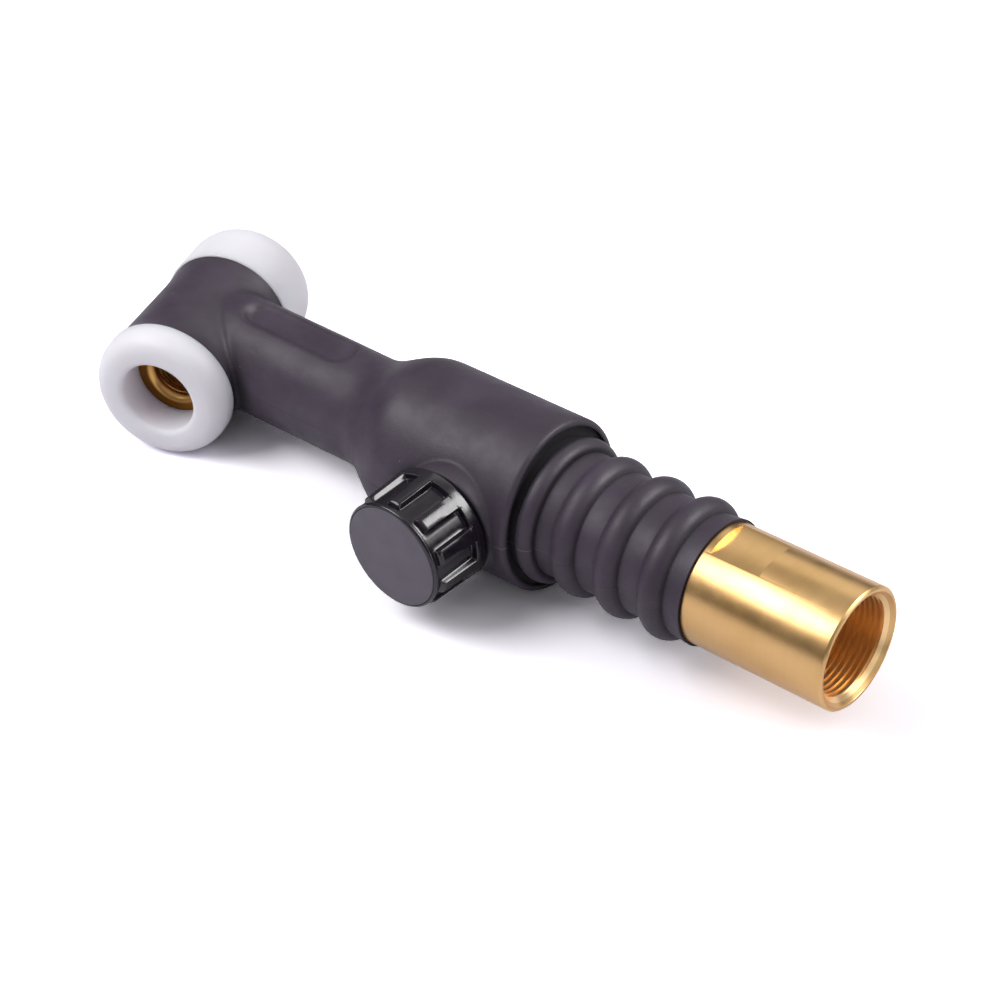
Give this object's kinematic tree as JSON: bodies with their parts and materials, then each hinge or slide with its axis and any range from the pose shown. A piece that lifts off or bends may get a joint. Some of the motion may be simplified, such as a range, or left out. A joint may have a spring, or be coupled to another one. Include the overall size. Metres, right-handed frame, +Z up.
{
  "type": "tig torch body",
  "caption": "TIG torch body with an angled rubber-covered head, white insulating rings, a needle gas valve with a knob, and a threaded brass rear connector.",
  "frame": {"origin": "centre of the rear thread's mouth, on the torch axis", "axes": "+X out of the rear connector along the torch axis, -Y out along the valve stem through the knob, +Z up as the torch lies on its side; the head axis crosses the torch axis 143.7 mm ahead of the origin and leans 20.6 degrees from -Y towards +X on the back-cap side"},
  "size_m": [0.1636, 0.0511, 0.0316],
  "materials": {
    "silicone_rubber": "matte moulded",
    "white_insulator": "smooth, slightly translucent",
    "turned_brass": "satin turned",
    "copper_tube": "drawn",
    "black_moulding": "glossy moulded",
    "grey_disc": "matte",
    "valve_seat": "turned",
    "sealing_rubber": "moulded",
    "steel_fitting": "zinc plated",
    "fibre_washer": "pressed fibre"
  },
  "bodies": {
    "torch": {"rubber_body": "silicone_rubber", "cap_insulator": "white_insulator", "nozzle_insulator": "white_insulator", "head_core": "turned_brass", "neck_tube": "copper_tube", "valve_body": "turned_brass", "seat_insert": "valve_seat", "rear_tube": "copper_tube", "rear_connector": "turned_brass", "gland_seal": "fibre_washer", "gland_bush": "turned_brass", "thrust_washer": "valve_seat"},
    "stem_seals": {"stem_o_rings": "sealing_rubber", "retaining_ring": "steel_fitting"},
    "valve_knob": {"valve_stem": "turned_brass", "knob_insert": "turned_brass", "knob": "black_moulding", "knob_washer": "steel_fitting", "knob_screw": "steel_fitting", "knob_cap": "grey_disc"}
  },
  "joints": [
    {"name": "stem_travel", "type": "slide", "parent": "torch", "child": "stem_seals", "axis": [0, -1, 0], "range_m": [0, 0.00113]},
    {"name": "knob_turn", "type": "hinge", "parent": "stem_seals", "child": "valve_knob", "pos_m": [-0.0717, 0, 0], "axis": [0, -1, 0], "range_deg": [0, 540]}
  ],
  "couplings": [
    {"joint": "stem_travel", "follows": "knob_turn", "m_per_rad": 0.00011937}
  ]
}
